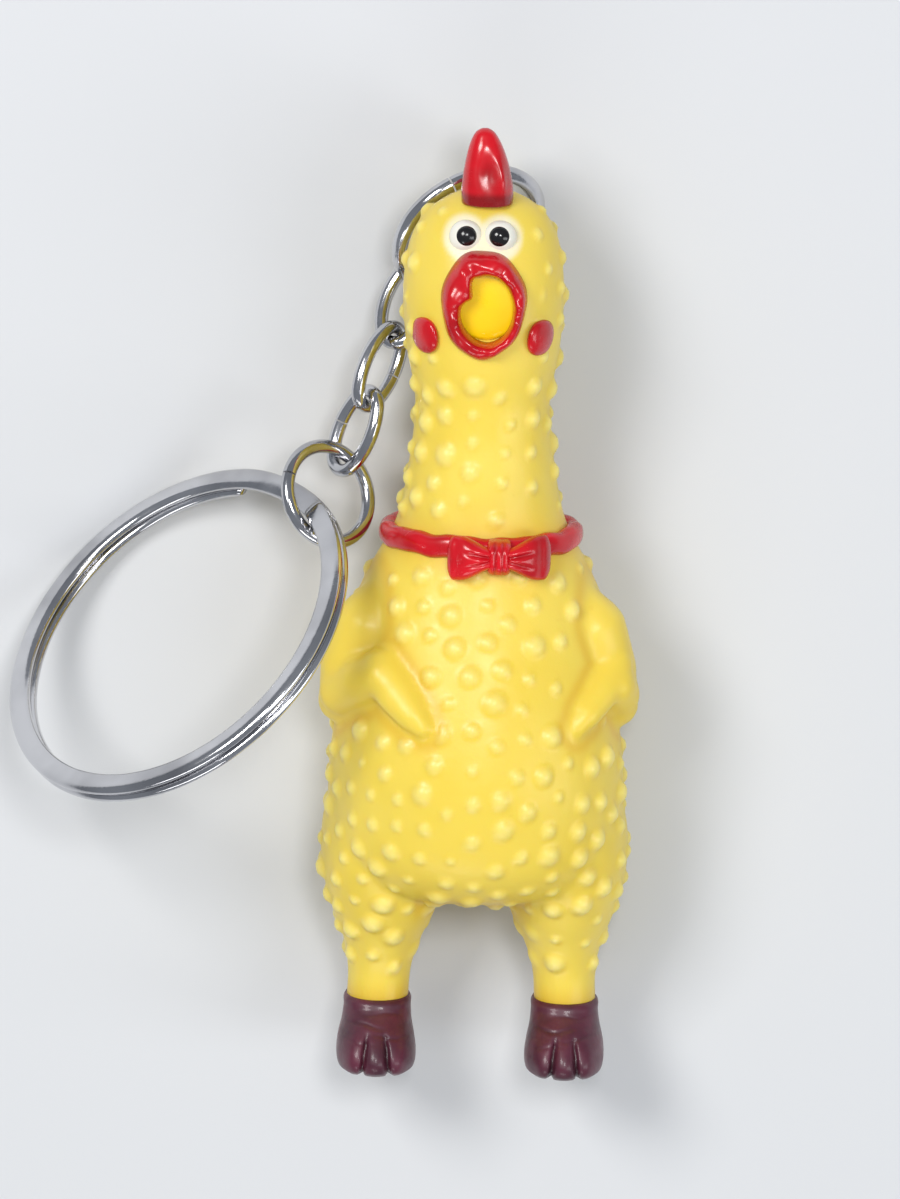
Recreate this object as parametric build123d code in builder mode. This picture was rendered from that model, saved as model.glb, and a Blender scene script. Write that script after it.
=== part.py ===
"""A miniature squeaky rubber chicken on a key ring.

The chicken lies on its back. Y runs towards its comb, Z up out of its belly, and X to the right as seen
from above with the comb away from the viewer. Left and right in names are as seen that way, too. The
origin is the middle of the flat patch of its back that it rests on. Heights are measured along the
chicken from the soles of its feet, and level() turns a height into a Y.
"""

import os
from math import atan2, cos, degrees, pi, radians, sin

from build123d import *

# ---- driving dimensions, in mm ----
REST_HEIGHT = 24.0  # height over the soles of the point that it rests on
WALL = 1.3  # soft vinyl skin
# height over the soles, half width, back and front of the trunk, neck and head
TRUNK = [
    (13.4, 5.4, 3.4, 13.6),
    (15.0, 8.6, 1.3, 16.8),
    (19.8, 10.6, -0.2, 19.2),
    (24.5, 11.0, -0.4, 19.8),
    (29.0, 10.6, -0.2, 19.0),
    (33.5, 10.3, 0.5, 17.8),
    (37.5, 9.5, 1.6, 16.8),
    (40.5, 8.1, 2.7, 16.2),
    (43.4, 6.9, 3.6, 15.9),
    (47.0, 6.0, 4.4, 15.7),
    (52.8, 5.4, 5.1, 15.6),
    (57.2, 6.1, 5.1, 16.6),
    (61.5, 6.4, 4.9, 17.2),
    (65.2, 5.8, 5.4, 16.4),
    (67.8, 4.2, 7.3, 14.9),
    (69.4, 2.2, 9.0, 13.0),
]
# height, centre, half width, back and front of one leg, down to the ankle
LEG = [
    (22.0, 6.6, 4.6, 3.0, 15.6),
    (18.5, 6.9, 5.1, 2.6, 15.2),
    (15.3, 6.9, 4.75, 2.8, 14.2),
    (12.3, 6.95, 4.05, 3.3, 12.6),
    (10.0, 7.05, 3.05, 4.1, 11.3),
    (7.6, 7.2, 2.45, 4.8, 10.3),
    (5.4, 7.25, 2.5, 4.9, 10.4),
]
# height, half width, heel and toe of one foot
FOOT = [
    (5.4, 2.62, 4.8, 10.6),
    (3.4, 2.85, 4.6, 12.2),
    (1.3, 3.1, 4.3, 13.4),
    (0.0, 2.9, 4.7, 13.0),
]
FOOT_CENTRE = 7.25

MOUTH_HEIGHT = 61.5
MOUTH_SEMI = (1.95, 2.6)
LIP_SEMI = (3.26, 4.2)
LIP_FRONT = 18.0
SOCKET_RADIUS = 2.9  # the squeaker's socket behind the mouth
SOCKET_FRONT = 15.9
SOCKET_BACK = 12.2
SOCKET_WALL = 0.9

EYE_CENTRE = (1.3, 66.5, 15.0)  # side, height, z
EYE_RADIUS = 1.26
PUPIL_RADIUS = 0.74
LOOK = (0.0, 0.21, 0.98)  # the way that the eyes look
PUPIL_OUT = 0.74  # of a pupil's centre from its eye's centre

COLLAR_BOTTOM = 41.6
COLLAR_HEIGHT = 1.8
COLLAR_SEMI = (7.95, 7.05)
COLLAR_CENTRE_Z = 9.55

SQUEAKER_RADIUS = SOCKET_RADIUS
SQUEAKER_LENGTH = 6.6
SQUEAKER_WALL = 0.7
REED_WIDTH = 1.5
REED_LENGTH = 3.2
REED_THICK = 0.25

HEAD_RING_WIRE = 0.625
LINK_WIRE = 0.525
SPLIT_RING_RADIUS = 15.0
SPLIT_WIRE = (1.75, 0.85)  # radial and axial size of one turn
SPLIT_TURN_GAP = 0.06
BUTT_GAP = 0.12  # between the ends of a closed ring or link
HEAD_RING_RADIUS = 5.77  # of the wire's centreline
CONNECTOR_RADIUS = 3.775
LINK_HALF_LENGTH = 3.275
LINK_HALF_WIDTH = 1.825
LINK_END_RADIUS = 1.35

TAB_HOLE_RADIUS = 1.0
TAB_RADIUS = 1.95
TAB_HALF_WIDTH = 0.9


def level(height):
    return height - REST_HEIGHT


def place(x, height, z):
    return Vector(x, level(height), z)


def across(height, x, z):
    """A plane across the chicken at a height, its first axis along X and its second along Z."""
    return Plane(origin=place(x, height, z), x_dir=(1, 0, 0), z_dir=(0, -1, 0))


def lobe(start, end, radius):
    """A long rounded lobe between two points: half an ellipse turned about its own length."""
    span = Vector(*end) - Vector(*start)
    middle = (Vector(*start) + Vector(*end)) * 0.5
    side = span.cross(Vector(0, 0, 1))
    if side.length < 0.01 * span.length:
        side = Vector(1, 0, 0)
    with BuildPart() as shape:
        with BuildSketch(Plane(origin=middle, x_dir=span, z_dir=side)):
            with BuildLine():
                half = EllipticalCenterArc((0, 0), span.length / 2, radius, start_angle=0, arc_size=180)
                Line(half @ 0, half @ 1)
            make_face()
        revolve(axis=Axis(middle, span))
    return shape.part


def ball(centre, radius):
    with BuildPart(Plane(origin=centre)) as shape:
        Sphere(radius)
    return shape.part


def save(builder, label):
    builder.part.label = label
    export_step(builder.part, f"parts/{label}.step")


os.makedirs("parts", exist_ok=True)

# ---- the moulded body, first as the solid of its outside ----
with BuildPart() as outside:
    for height, half_width, back, front in TRUNK:
        with BuildSketch(across(height, 0, (back + front) / 2)):
            Ellipse(half_width, (front - back) / 2)
    loft()
    split(bisect_by=Plane.XY, keep=Keep.TOP)

with BuildPart() as cavity:
    for height, half_width, back, front in TRUNK[1:-1]:
        with BuildSketch(across(height, 0, (max(back, 0) + front) / 2)):
            Ellipse(half_width - WALL, (front - max(back, 0)) / 2 - WALL)
    loft()

with BuildPart() as leg:
    for height, centre, half_width, back, front in LEG:
        with BuildSketch(across(height, centre, (back + front) / 2)):
            Ellipse(half_width, (front - back) / 2)
    loft()

# upper arm, elbow and pointed hand of each wing; the right hand is moulded further round the side
WINGS = [
    (place(-8.2, 38.0, 10.4), place(-10.9, 28.6, 10.6), 2.5),
    (place(-11.2, 32.2, 11.0), place(-6.6, 30.6, 17.0), 1.7),
    (place(-8.0, 34.2, 15.8), place(-3.6, 28.4, 19.6), 1.05),
    (place(8.2, 38.0, 10.4), place(10.9, 28.6, 10.6), 2.5),
    (place(11.2, 32.6, 9.8), place(10.2, 30.4, 14.2), 1.7),
    (place(10.7, 33.4, 12.6), place(7.2, 28.2, 16.9), 1.05),
]
wing_lobes = [lobe(start, end, radius) for start, end, radius in WINGS]

# the ring that the chicken hangs by crosses its tab here, along TAB_AXIS
TAB_HOLE = place(0.0, 69.99, 7.36)
TAB_AXIS = Vector(0.874, 0.031, -0.485).normalized()

with BuildPart() as body_shell:
    add(outside.part)
    add(leg.part)
    add(mirror(leg.part, about=Plane.YZ))
    for wing_lobe in wing_lobes:
        add(wing_lobe)
    with BuildSketch(Plane(origin=TAB_HOLE, x_dir=(0, 1, 0), z_dir=TAB_AXIS)):
        Circle(TAB_RADIUS)
        with Locations((-2.2, 0)):
            Rectangle(4.4, 2 * TAB_RADIUS)
    extrude(amount=TAB_HALF_WIDTH, both=True)
    add(cavity.part, mode=Mode.SUBTRACT)
    # the squeaker's socket hangs behind the mouth
    with BuildSketch(Plane(origin=place(0, MOUTH_HEIGHT, SOCKET_BACK))):
        Circle(SOCKET_RADIUS + SOCKET_WALL)
    extrude(amount=SOCKET_FRONT - SOCKET_BACK - 0.4)
    with BuildSketch(Plane(origin=place(0, MOUTH_HEIGHT, SOCKET_BACK))):
        Circle(SOCKET_RADIUS)
    extrude(amount=SOCKET_FRONT - SOCKET_BACK, mode=Mode.SUBTRACT)
    with BuildSketch(Plane(origin=place(0, MOUTH_HEIGHT, SOCKET_FRONT))):
        Ellipse(*MOUTH_SEMI)
    extrude(amount=4, mode=Mode.SUBTRACT)
    with BuildSketch(Plane(origin=TAB_HOLE, z_dir=TAB_AXIS)):
        Circle(TAB_HOLE_RADIUS)
    extrude(amount=3, both=True, mode=Mode.SUBTRACT)
save(body_shell, "body_shell")

# ---- painted and raised features, each cut to the skin that it sits on ----
with BuildPart() as comb:
    with BuildSketch(across(69.2, 0, 13.0)):
        Ellipse(1.95, 2.2)
    with BuildSketch(across(71.6, 0.05, 13.1)):
        Ellipse(1.85, 1.8)
    with BuildSketch(across(73.6, 0.12, 13.3)):
        Ellipse(1.3, 1.2)
    with BuildSketch(across(74.6, 0.1, 13.4)):
        Ellipse(0.5, 0.5)
    loft()
    add(outside.part, mode=Mode.SUBTRACT)
save(comb, "comb")

with BuildPart() as beak_lips:
    with BuildSketch(Plane(origin=place(0, MOUTH_HEIGHT, SOCKET_FRONT - 3))):
        Ellipse(*LIP_SEMI)
        Ellipse(*MOUTH_SEMI, mode=Mode.SUBTRACT)
    extrude(amount=LIP_FRONT - SOCKET_FRONT + 3)
    fillet(beak_lips.edges().group_by(Axis.Z)[-1], 0.45)
    add(outside.part, mode=Mode.SUBTRACT)
save(beak_lips, "beak_lips")

SIDES = {"left": -1, "right": 1}
for side, sign in SIDES.items():
    x, height, z = EYE_CENTRE
    eye_centre = place(sign * x, height, z)
    pupil_centre = eye_centre + Vector(*LOOK) * PUPIL_OUT
    eye_ball = ball(eye_centre, EYE_RADIUS)
    pupil_ball = ball(pupil_centre, PUPIL_RADIUS)
    with BuildPart() as eye_white:
        add(eye_ball)
        add(outside.part, mode=Mode.SUBTRACT)
    save(eye_white, f"eye_white_{side}")
    with BuildPart() as pupil:
        add(pupil_ball)
        add(eye_ball, mode=Mode.SUBTRACT)
        add(outside.part, mode=Mode.SUBTRACT)
    save(pupil, f"pupil_{side}")

    wattle_lobe = lobe(place(sign * 4.3, 60.2, 14.7), place(sign * 4.6, 57.3, 14.5), 1.05)
    with BuildPart() as wattle:
        add(wattle_lobe)
        add(outside.part, mode=Mode.SUBTRACT)
    save(wattle, f"wattle_{side}")

    with BuildPart() as foot:
        for height, half_width, heel, toe in FOOT:
            with BuildSketch(across(height, sign * FOOT_CENTRE, (heel + toe) / 2)):
                Ellipse(half_width, (toe - heel) / 2)
        loft()
    save(foot, f"foot_{side}")

# ---- collar and bow ----
with BuildPart() as collar_disc:
    with BuildSketch(across(COLLAR_BOTTOM + COLLAR_HEIGHT, 0, COLLAR_CENTRE_Z)):
        Ellipse(*COLLAR_SEMI)
    extrude(amount=COLLAR_HEIGHT)
    fillet(collar_disc.edges(), 0.5)
with BuildPart() as collar_band:
    add(collar_disc.part)
    add(outside.part, mode=Mode.SUBTRACT)
save(collar_band, "collar_band")

BOW_HEIGHT = 42.0
KNOT_FRONT = 18.1
with BuildPart() as knot_block:
    with BuildSketch(Plane(origin=place(1.4, BOW_HEIGHT, COLLAR_CENTRE_Z))):
        RectangleRounded(1.9, 2.7, 0.6)
    extrude(amount=KNOT_FRONT - COLLAR_CENTRE_Z)
    fillet(knot_block.edges().group_by(Axis.Z)[-1], 0.5)
loop_lobes = {
    "left": lobe(place(1.3, BOW_HEIGHT, 16.9), place(-2.7, BOW_HEIGHT - 0.2, 16.6), 1.6),
    "right": lobe(place(1.5, BOW_HEIGHT, 16.9), place(5.4, BOW_HEIGHT - 0.2, 15.4), 1.6),
}
with BuildPart() as bow_knot:
    add(knot_block.part)
    add(collar_disc.part, mode=Mode.SUBTRACT)
    add(outside.part, mode=Mode.SUBTRACT)
save(bow_knot, "bow_knot")
for side, loop_lobe in loop_lobes.items():
    with BuildPart() as bow_loop:
        add(loop_lobe)
        add(knot_block.part, mode=Mode.SUBTRACT)
        add(collar_disc.part, mode=Mode.SUBTRACT)
        add(outside.part, mode=Mode.SUBTRACT)
    save(bow_loop, f"bow_loop_{side}")

# ---- the squeaker: a cup pressed into its socket, a reed plate, the reed and a back cap ----
squeaker_back = SOCKET_FRONT - SQUEAKER_LENGTH
with BuildPart(Plane(origin=place(0, MOUTH_HEIGHT, squeaker_back))) as squeaker_cup:
    Cylinder(SQUEAKER_RADIUS, SQUEAKER_LENGTH, align=(Align.CENTER, Align.CENTER, Align.MIN))
    with Locations((0, 0, 0)):
        Cylinder(
            SQUEAKER_RADIUS - SQUEAKER_WALL,
            SQUEAKER_LENGTH - SQUEAKER_WALL,
            align=(Align.CENTER, Align.CENTER, Align.MIN),
            mode=Mode.SUBTRACT,
        )
    # the sound hole, low in the face and hidden by the lower lip
    with Locations((0, -2.45, SQUEAKER_LENGTH)):
        Box(1.4, 0.3, 4 * SQUEAKER_WALL, mode=Mode.SUBTRACT)
save(squeaker_cup, "squeaker_cup")

REED_PLATE_THICK = 0.9
REED_PLATE_OUT = 0.9  # of the reed plate's back face from the cup's back edge
REED_ROOT = 1.5  # of the reed's clamped end from the cup's axis
REED_LIFT = 0.2  # of the resting reed over its plate
inner_radius = SQUEAKER_RADIUS - SQUEAKER_WALL
plate_plane = Plane(origin=place(0, MOUTH_HEIGHT, squeaker_back + REED_PLATE_OUT))
with BuildPart(plate_plane) as reed_plate:
    Cylinder(inner_radius, REED_PLATE_THICK, align=(Align.CENTER, Align.CENTER, Align.MIN))
    # the window that the reed beats in
    with Locations((0, 0.1, 0)):
        Box(
            REED_WIDTH - 0.5,
            2.2,
            3 * REED_PLATE_THICK,
            mode=Mode.SUBTRACT,
        )
    # the clip that holds the reed's root
    with Locations((0, -REED_ROOT, REED_PLATE_THICK)):
        Box(REED_WIDTH + 0.8, 0.7, 0.8, align=(Align.CENTER, Align.CENTER, Align.MIN))
        Box(
            REED_WIDTH + 0.1,
            0.9,
            REED_LIFT + REED_THICK + 0.1,
            align=(Align.CENTER, Align.CENTER, Align.MIN),
            mode=Mode.SUBTRACT,
        )
save(reed_plate, "squeaker_reed_plate")

reed_plane = plate_plane.offset(REED_PLATE_THICK + REED_LIFT)
with BuildPart(reed_plane) as reed:
    with Locations((0, -REED_ROOT - 0.3, 0)):
        Box(REED_WIDTH, REED_LENGTH, REED_THICK, align=(Align.CENTER, Align.MIN, Align.MIN))
save(reed, "squeaker_reed")

CAP_THICK = 0.8
with BuildPart(Plane(origin=place(0, MOUTH_HEIGHT, squeaker_back - CAP_THICK))) as squeaker_cap:
    Cylinder(SQUEAKER_RADIUS, CAP_THICK, align=(Align.CENTER, Align.CENTER, Align.MIN))
    with Locations((0, 0, CAP_THICK)):
        Cylinder(inner_radius, 0.9, align=(Align.CENTER, Align.CENTER, Align.MIN))
        Cylinder(inner_radius - 0.6, 0.9, align=(Align.CENTER, Align.CENTER, Align.MIN), mode=Mode.SUBTRACT)
    with PolarLocations(1.1, 4):
        Cylinder(0.35, 4, mode=Mode.SUBTRACT)
save(squeaker_cap, "squeaker_cap")

# ---- head ring, chain, connector ring and split ring ----
# middle as x, height and z, the way to the ring before it, and the normal of each ring
RING_PLACES = {
    "head_ring": ((-1.452, 65.136, 4.60), (0.7874, 0.6165, 0.0), (0.4231, -0.5404, 0.7273)),
    "chain_link_1": ((-6.120, 59.300, 4.615), (0.3088, 0.8868, -0.3439), (0.4077, -0.4500, -0.7945)),
    "chain_link_2": ((-8.002, 54.645, 6.528), (0.3867, 0.8357, -0.3900), (-0.7545, 0.0435, -0.6549)),
    "chain_link_3": ((-9.794, 49.777, 7.446), (0.3762, 0.9263, 0.0190), (-0.7147, 0.2771, 0.6423)),
    "connector_ring": ((-11.780, 45.188, 9.605), (0.4598, 0.5925, -0.6615), (0.5770, 0.3669, 0.7297)),
    "split_ring": ((-23.017, 34.783, 13.292), (0.7443, 0.6615, -0.0920), (0.5350, -0.6730, -0.5107)),
}


def ring_plane(label, turned=0):
    """The plane of a ring, its x axis turned about the ring's axis by a number of degrees."""
    middle, towards, normal = RING_PLACES[label]
    flat = Plane(origin=place(*middle), x_dir=towards, z_dir=normal)
    x_dir = flat.x_dir * cos(radians(turned)) + flat.y_dir * sin(radians(turned))
    return Plane(origin=flat.origin, x_dir=x_dir, z_dir=flat.z_dir)


def section_plane(plane, radius, offset=0):
    """Where a ring's plane cuts its own wire: first axis outwards, second along the ring's axis."""
    origin = plane.origin + plane.x_dir * radius + plane.z_dir * offset
    return Plane(origin=origin, x_dir=plane.x_dir, z_dir=-plane.y_dir)


def jump_ring(label, radius, wire, gap_turn):
    """A round ring of wire whose ends butt at gap_turn degrees from its x axis."""
    gap = degrees(BUTT_GAP / radius)
    plane = ring_plane(label, gap_turn + gap / 2)
    with BuildPart() as ring:
        with BuildSketch(section_plane(plane, radius)):
            Circle(wire)
        revolve(axis=Axis(plane.origin, plane.z_dir), revolution_arc=360 - gap)
    save(ring, label)


def oval_link(label):
    """An oval link of four tangent arcs, whose ends butt in the middle of one side."""
    end_x = LINK_HALF_LENGTH - LINK_END_RADIUS
    side_radius = (end_x**2 + LINK_HALF_WIDTH**2 - LINK_END_RADIUS**2) / (
        2 * (LINK_HALF_WIDTH - LINK_END_RADIUS)
    )
    side_y = side_radius - LINK_HALF_WIDTH
    joint = degrees(atan2(side_y, end_x))
    half_gap = degrees(BUTT_GAP / 2 / side_radius)
    half_side = 90 - joint
    with BuildPart() as link:
        with BuildLine(ring_plane(label)) as path:
            CenterArc((0, -side_y), side_radius, 90 + half_gap, half_side - half_gap)
            CenterArc((-end_x, 0), LINK_END_RADIUS, 180 - joint, 2 * joint)
            CenterArc((0, side_y), side_radius, 180 + joint, 2 * half_side)
            CenterArc((end_x, 0), LINK_END_RADIUS, -joint, 2 * joint)
            CenterArc((0, -side_y), side_radius, joint, half_side - half_gap)
        with BuildSketch(Plane(origin=path.line @ 0, z_dir=path.line % 0)):
            Circle(LINK_WIRE)
        sweep()
    save(link, label)


jump_ring("head_ring", HEAD_RING_RADIUS, HEAD_RING_WIRE, gap_turn=75)
for number in (1, 2, 3):
    oval_link(f"chain_link_{number}")
jump_ring("connector_ring", CONNECTOR_RADIUS, LINK_WIRE, gap_turn=110)

# two turns of flattened wire, one on the other, and the short slope between them
SPLIT_START = -38.0  # degrees about the ring where the slope begins, and where it ends
SPLIT_END = -3.0
SPLIT_CLEAR = 1.5  # degrees between each free end and the slope
split_centreline = SPLIT_RING_RADIUS - SPLIT_WIRE[0] / 2
layer = (SPLIT_WIRE[1] + SPLIT_TURN_GAP) / 2
turn = 360 - (SPLIT_END - SPLIT_START)


def split_section(turned, offset):
    return section_plane(ring_plane("split_ring", turned), split_centreline, offset)


with BuildPart() as split_ring:
    ring_axis = Axis(ring_plane("split_ring").origin, ring_plane("split_ring").z_dir)
    with BuildSketch(split_section(SPLIT_END + SPLIT_CLEAR, -layer)):
        RectangleRounded(*SPLIT_WIRE, 0.3)
    revolve(axis=ring_axis, revolution_arc=turn - SPLIT_CLEAR)
    with BuildSketch(split_section(SPLIT_END, layer)):
        RectangleRounded(*SPLIT_WIRE, 0.3)
    revolve(axis=ring_axis, revolution_arc=turn - SPLIT_CLEAR)
    for step in range(6):
        rise = -layer * cos(pi * step / 5)
        with BuildSketch(split_section(SPLIT_START + (SPLIT_END - SPLIT_START) * step / 5, rise)):
            RectangleRounded(*SPLIT_WIRE, 0.3)
    loft()
save(split_ring, "split_ring")
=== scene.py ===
"""The finished surfaces of a miniature squeaky rubber chicken on a key ring.

Lengths in the tables are millimetres. Heights run from the soles of the feet towards the comb, and at()
turns a side, a height and a z into a place in the frame, in metres.
"""

import math

import bmesh
import bpy
import numpy as np
from mathutils import Matrix, Vector


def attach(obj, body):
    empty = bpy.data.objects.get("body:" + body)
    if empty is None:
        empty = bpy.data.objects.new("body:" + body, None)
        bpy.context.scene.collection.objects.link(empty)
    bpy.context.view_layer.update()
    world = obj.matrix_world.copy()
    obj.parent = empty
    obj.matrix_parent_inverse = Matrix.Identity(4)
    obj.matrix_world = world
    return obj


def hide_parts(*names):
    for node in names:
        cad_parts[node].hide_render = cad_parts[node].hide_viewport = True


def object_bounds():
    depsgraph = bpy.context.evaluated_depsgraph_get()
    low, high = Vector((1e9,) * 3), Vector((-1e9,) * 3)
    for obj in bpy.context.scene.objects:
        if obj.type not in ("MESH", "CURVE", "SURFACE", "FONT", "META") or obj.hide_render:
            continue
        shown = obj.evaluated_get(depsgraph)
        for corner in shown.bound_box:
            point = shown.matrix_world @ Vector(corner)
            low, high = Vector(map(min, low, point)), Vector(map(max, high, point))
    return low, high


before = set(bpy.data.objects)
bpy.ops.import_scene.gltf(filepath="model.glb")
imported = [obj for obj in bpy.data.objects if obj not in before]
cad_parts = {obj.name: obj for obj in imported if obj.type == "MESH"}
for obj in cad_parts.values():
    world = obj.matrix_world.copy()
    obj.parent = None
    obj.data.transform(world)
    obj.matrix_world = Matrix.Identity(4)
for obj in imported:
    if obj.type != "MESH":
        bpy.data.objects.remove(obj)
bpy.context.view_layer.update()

MM = 0.001
TAU = 2 * math.pi
REST_HEIGHT = 24.0  # of the frame's origin over the soles
SIDES = (("left", -1), ("right", 1))


def at(x, height, z):
    return Vector((x, height - REST_HEIGHT, z)) * MM


# ---- meshes ----
def ring_skin(rings):
    """Vertices and faces of a skin over closed rings of equal length, its ends drawn to points."""
    count = len(rings[0])
    verts = [point for ring in rings for point in ring]
    faces = []
    for row in range(len(rings) - 1):
        for k in range(count):
            a = row * count + k
            b = row * count + (k + 1) % count
            faces.append((a, b, b + count, a + count))
    for first in (0, (len(rings) - 1) * count):
        loop = verts[first:first + count]
        verts.append(sum(loop, Vector()) / count)
        tip = len(verts) - 1
        faces += [(first + k, first + (k + 1) % count, tip) for k in range(count)]
    return verts, faces


def tube_faces(count, sides):
    """Faces of a closed tube: count sections of sides points each, the last joined to the first."""
    faces = []
    for k in range(count):
        here, there = k * sides, (k + 1) % count * sides
        for n in range(sides):
            following = (n + 1) % sides
            faces.append((here + n, here + following, there + following, there + n))
    return faces


def mesh_object(name, verts, faces, smooth=True):
    mesh = bpy.data.meshes.new(name)
    mesh.from_pydata([tuple(v) for v in verts], [], faces)
    build = bmesh.new()
    build.from_mesh(mesh)
    bmesh.ops.remove_doubles(build, verts=build.verts, dist=1e-7)
    bmesh.ops.recalc_face_normals(build, faces=build.faces)
    build.to_mesh(mesh)
    build.free()
    for polygon in mesh.polygons:
        polygon.use_smooth = smooth
    obj = bpy.data.objects.new(name, mesh)
    bpy.context.scene.collection.objects.link(obj)
    return obj


def baked(obj):
    """The object with its modifiers made part of its mesh."""
    graph = bpy.context.evaluated_depsgraph_get()
    mesh = bpy.data.meshes.new_from_object(obj.evaluated_get(graph))
    obj.modifiers.clear()
    obj.data = mesh
    for polygon in mesh.polygons:
        polygon.use_smooth = True
    return obj


def subdivided(obj, levels=2):
    step = obj.modifiers.new("subdivision", "SUBSURF")
    step.levels = levels
    step.render_levels = levels
    return baked(obj)


def between(table, height):
    """A smooth row of a table whose first column is height."""
    rows = sorted(table)
    if height <= rows[0][0]:
        return rows[0][1:]
    if height >= rows[-1][0]:
        return rows[-1][1:]
    k = max(i for i in range(len(rows) - 1) if rows[i][0] <= height)
    before = rows[max(k - 1, 0)]
    low, high = rows[k], rows[k + 1]
    after = rows[min(k + 2, len(rows) - 1)]
    t = (height - low[0]) / (high[0] - low[0])
    values = []
    for c in range(1, len(low)):
        slope_low = (high[c] - before[c]) / (high[0] - before[0]) * (high[0] - low[0])
        slope_high = (after[c] - low[c]) / (after[0] - low[0]) * (high[0] - low[0])
        values.append(
            (2 * t**3 - 3 * t**2 + 1) * low[c]
            + (t**3 - 2 * t**2 + t) * slope_low
            + (3 * t**2 - 2 * t**3) * high[c]
            + (t**3 - t**2) * slope_high
        )
    return values


def oval(centre, height, half_width, back, front, count=48, square=2.0):
    """A ring across the chicken; square over 2 makes it boxier than an ellipse."""
    middle, half_depth = (back + front) / 2, (front - back) / 2
    ring = []
    for k in range(count):
        turn = TAU * k / count
        c, s = math.cos(turn), math.sin(turn)
        reach = (abs(c) ** square + abs(s) ** square) ** (-1 / square)
        ring.append(at(centre + half_width * c * reach, height, middle + half_depth * s * reach))
    return ring


LIMB_STEPS = 6  # sections between two points of a limb


def tapered(points, radii, count=20, flat=1.0, flat_way=Vector((0, 0, 1))):
    """A rounded limb along a line of points, with a radius at each; flat squeezes it along flat_way."""
    line = [Vector(p) for p in points]
    rings = []
    start = (line[1] - line[0]).normalized()
    end = (line[-1] - line[-2]).normalized()
    stations = []
    for a in (0.25, 0.6, 1.0, 1.3):
        stations.append((line[0] - start * radii[0] * math.cos(a), radii[0] * math.sin(a)))
    for k in range(len(line) - 1):
        for step in range(LIMB_STEPS):
            t = step / LIMB_STEPS
            stations.append((line[k].lerp(line[k + 1], t), radii[k] + (radii[k + 1] - radii[k]) * t))
    for a in (1.57, 1.3, 1.0, 0.6, 0.25):
        stations.append((line[-1] + end * radii[-1] * math.cos(a), radii[-1] * math.sin(a)))
    for k, (middle, radius) in enumerate(stations):
        near, far = stations[max(k - 1, 0)][0], stations[min(k + 1, len(stations) - 1)][0]
        along = (far - near).normalized()
        side = along.cross(flat_way).normalized()
        up = side.cross(along).normalized()
        ring = []
        for n in range(count):
            turn = TAU * n / count
            place = middle + side * radius * math.cos(turn) + up * radius * flat * math.sin(turn)
            ring.append(at(*place))
        rings.append(ring)
    return ring_skin(rings)


# ---- materials ----
def new_material(name):
    material = bpy.data.materials.new(name)
    material.use_nodes = True
    tree = material.node_tree
    tree.nodes.clear()
    out = tree.nodes.new("ShaderNodeOutputMaterial")
    shader = tree.nodes.new("ShaderNodeBsdfPrincipled")
    tree.links.new(shader.outputs[0], out.inputs[0])
    return material, tree, shader


def noise_of(tree, scale, detail=3.0, rough=0.5, stretch=None):
    place = tree.nodes.new("ShaderNodeTexCoord")
    noise = tree.nodes.new("ShaderNodeTexNoise")
    noise.inputs["Scale"].default_value = scale
    noise.inputs["Detail"].default_value = detail
    noise.inputs["Roughness"].default_value = rough
    source = place.outputs["Object"]
    if stretch:
        mapping = tree.nodes.new("ShaderNodeMapping")
        mapping.inputs["Scale"].default_value = stretch
        tree.links.new(source, mapping.inputs["Vector"])
        source = mapping.outputs[0]
    tree.links.new(source, noise.inputs["Vector"])
    return noise.outputs[0]


def ramp_of(tree, source, stops):
    ramp = tree.nodes.new("ShaderNodeValToRGB")
    while len(ramp.color_ramp.elements) < len(stops):
        ramp.color_ramp.elements.new(0.5)
    for element, (place, colour) in zip(ramp.color_ramp.elements, stops):
        element.position = place
        element.color = (*colour, 1) if len(colour) == 3 else colour
    tree.links.new(source, ramp.inputs[0])
    return ramp.outputs[0]


def mixed(tree, factor, first, second, way="MIX"):
    """A colour mix; each of its inputs is a socket or a constant."""
    mix = tree.nodes.new("ShaderNodeMix")
    mix.data_type = "RGBA"
    mix.blend_type = way
    for index, value in ((0, factor), (6, first), (7, second)):
        if isinstance(value, bpy.types.NodeSocket):
            tree.links.new(value, mix.inputs[index])
        elif index == 0:
            mix.inputs[0].default_value = value
        else:
            mix.inputs[index].default_value = (*value, 1)
    return mix.outputs[2]


def bumped(tree, shader, source, distance, strength=1.0):
    bump = tree.nodes.new("ShaderNodeBump")
    bump.inputs["Strength"].default_value = strength
    bump.inputs["Distance"].default_value = distance
    tree.links.new(source, bump.inputs["Height"])
    tree.links.new(bump.outputs[0], shader.inputs["Normal"])
    return bump


def attribute_of(tree, name):
    node = tree.nodes.new("ShaderNodeAttribute")
    node.attribute_name = name
    return node.outputs["Fac"]


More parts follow.
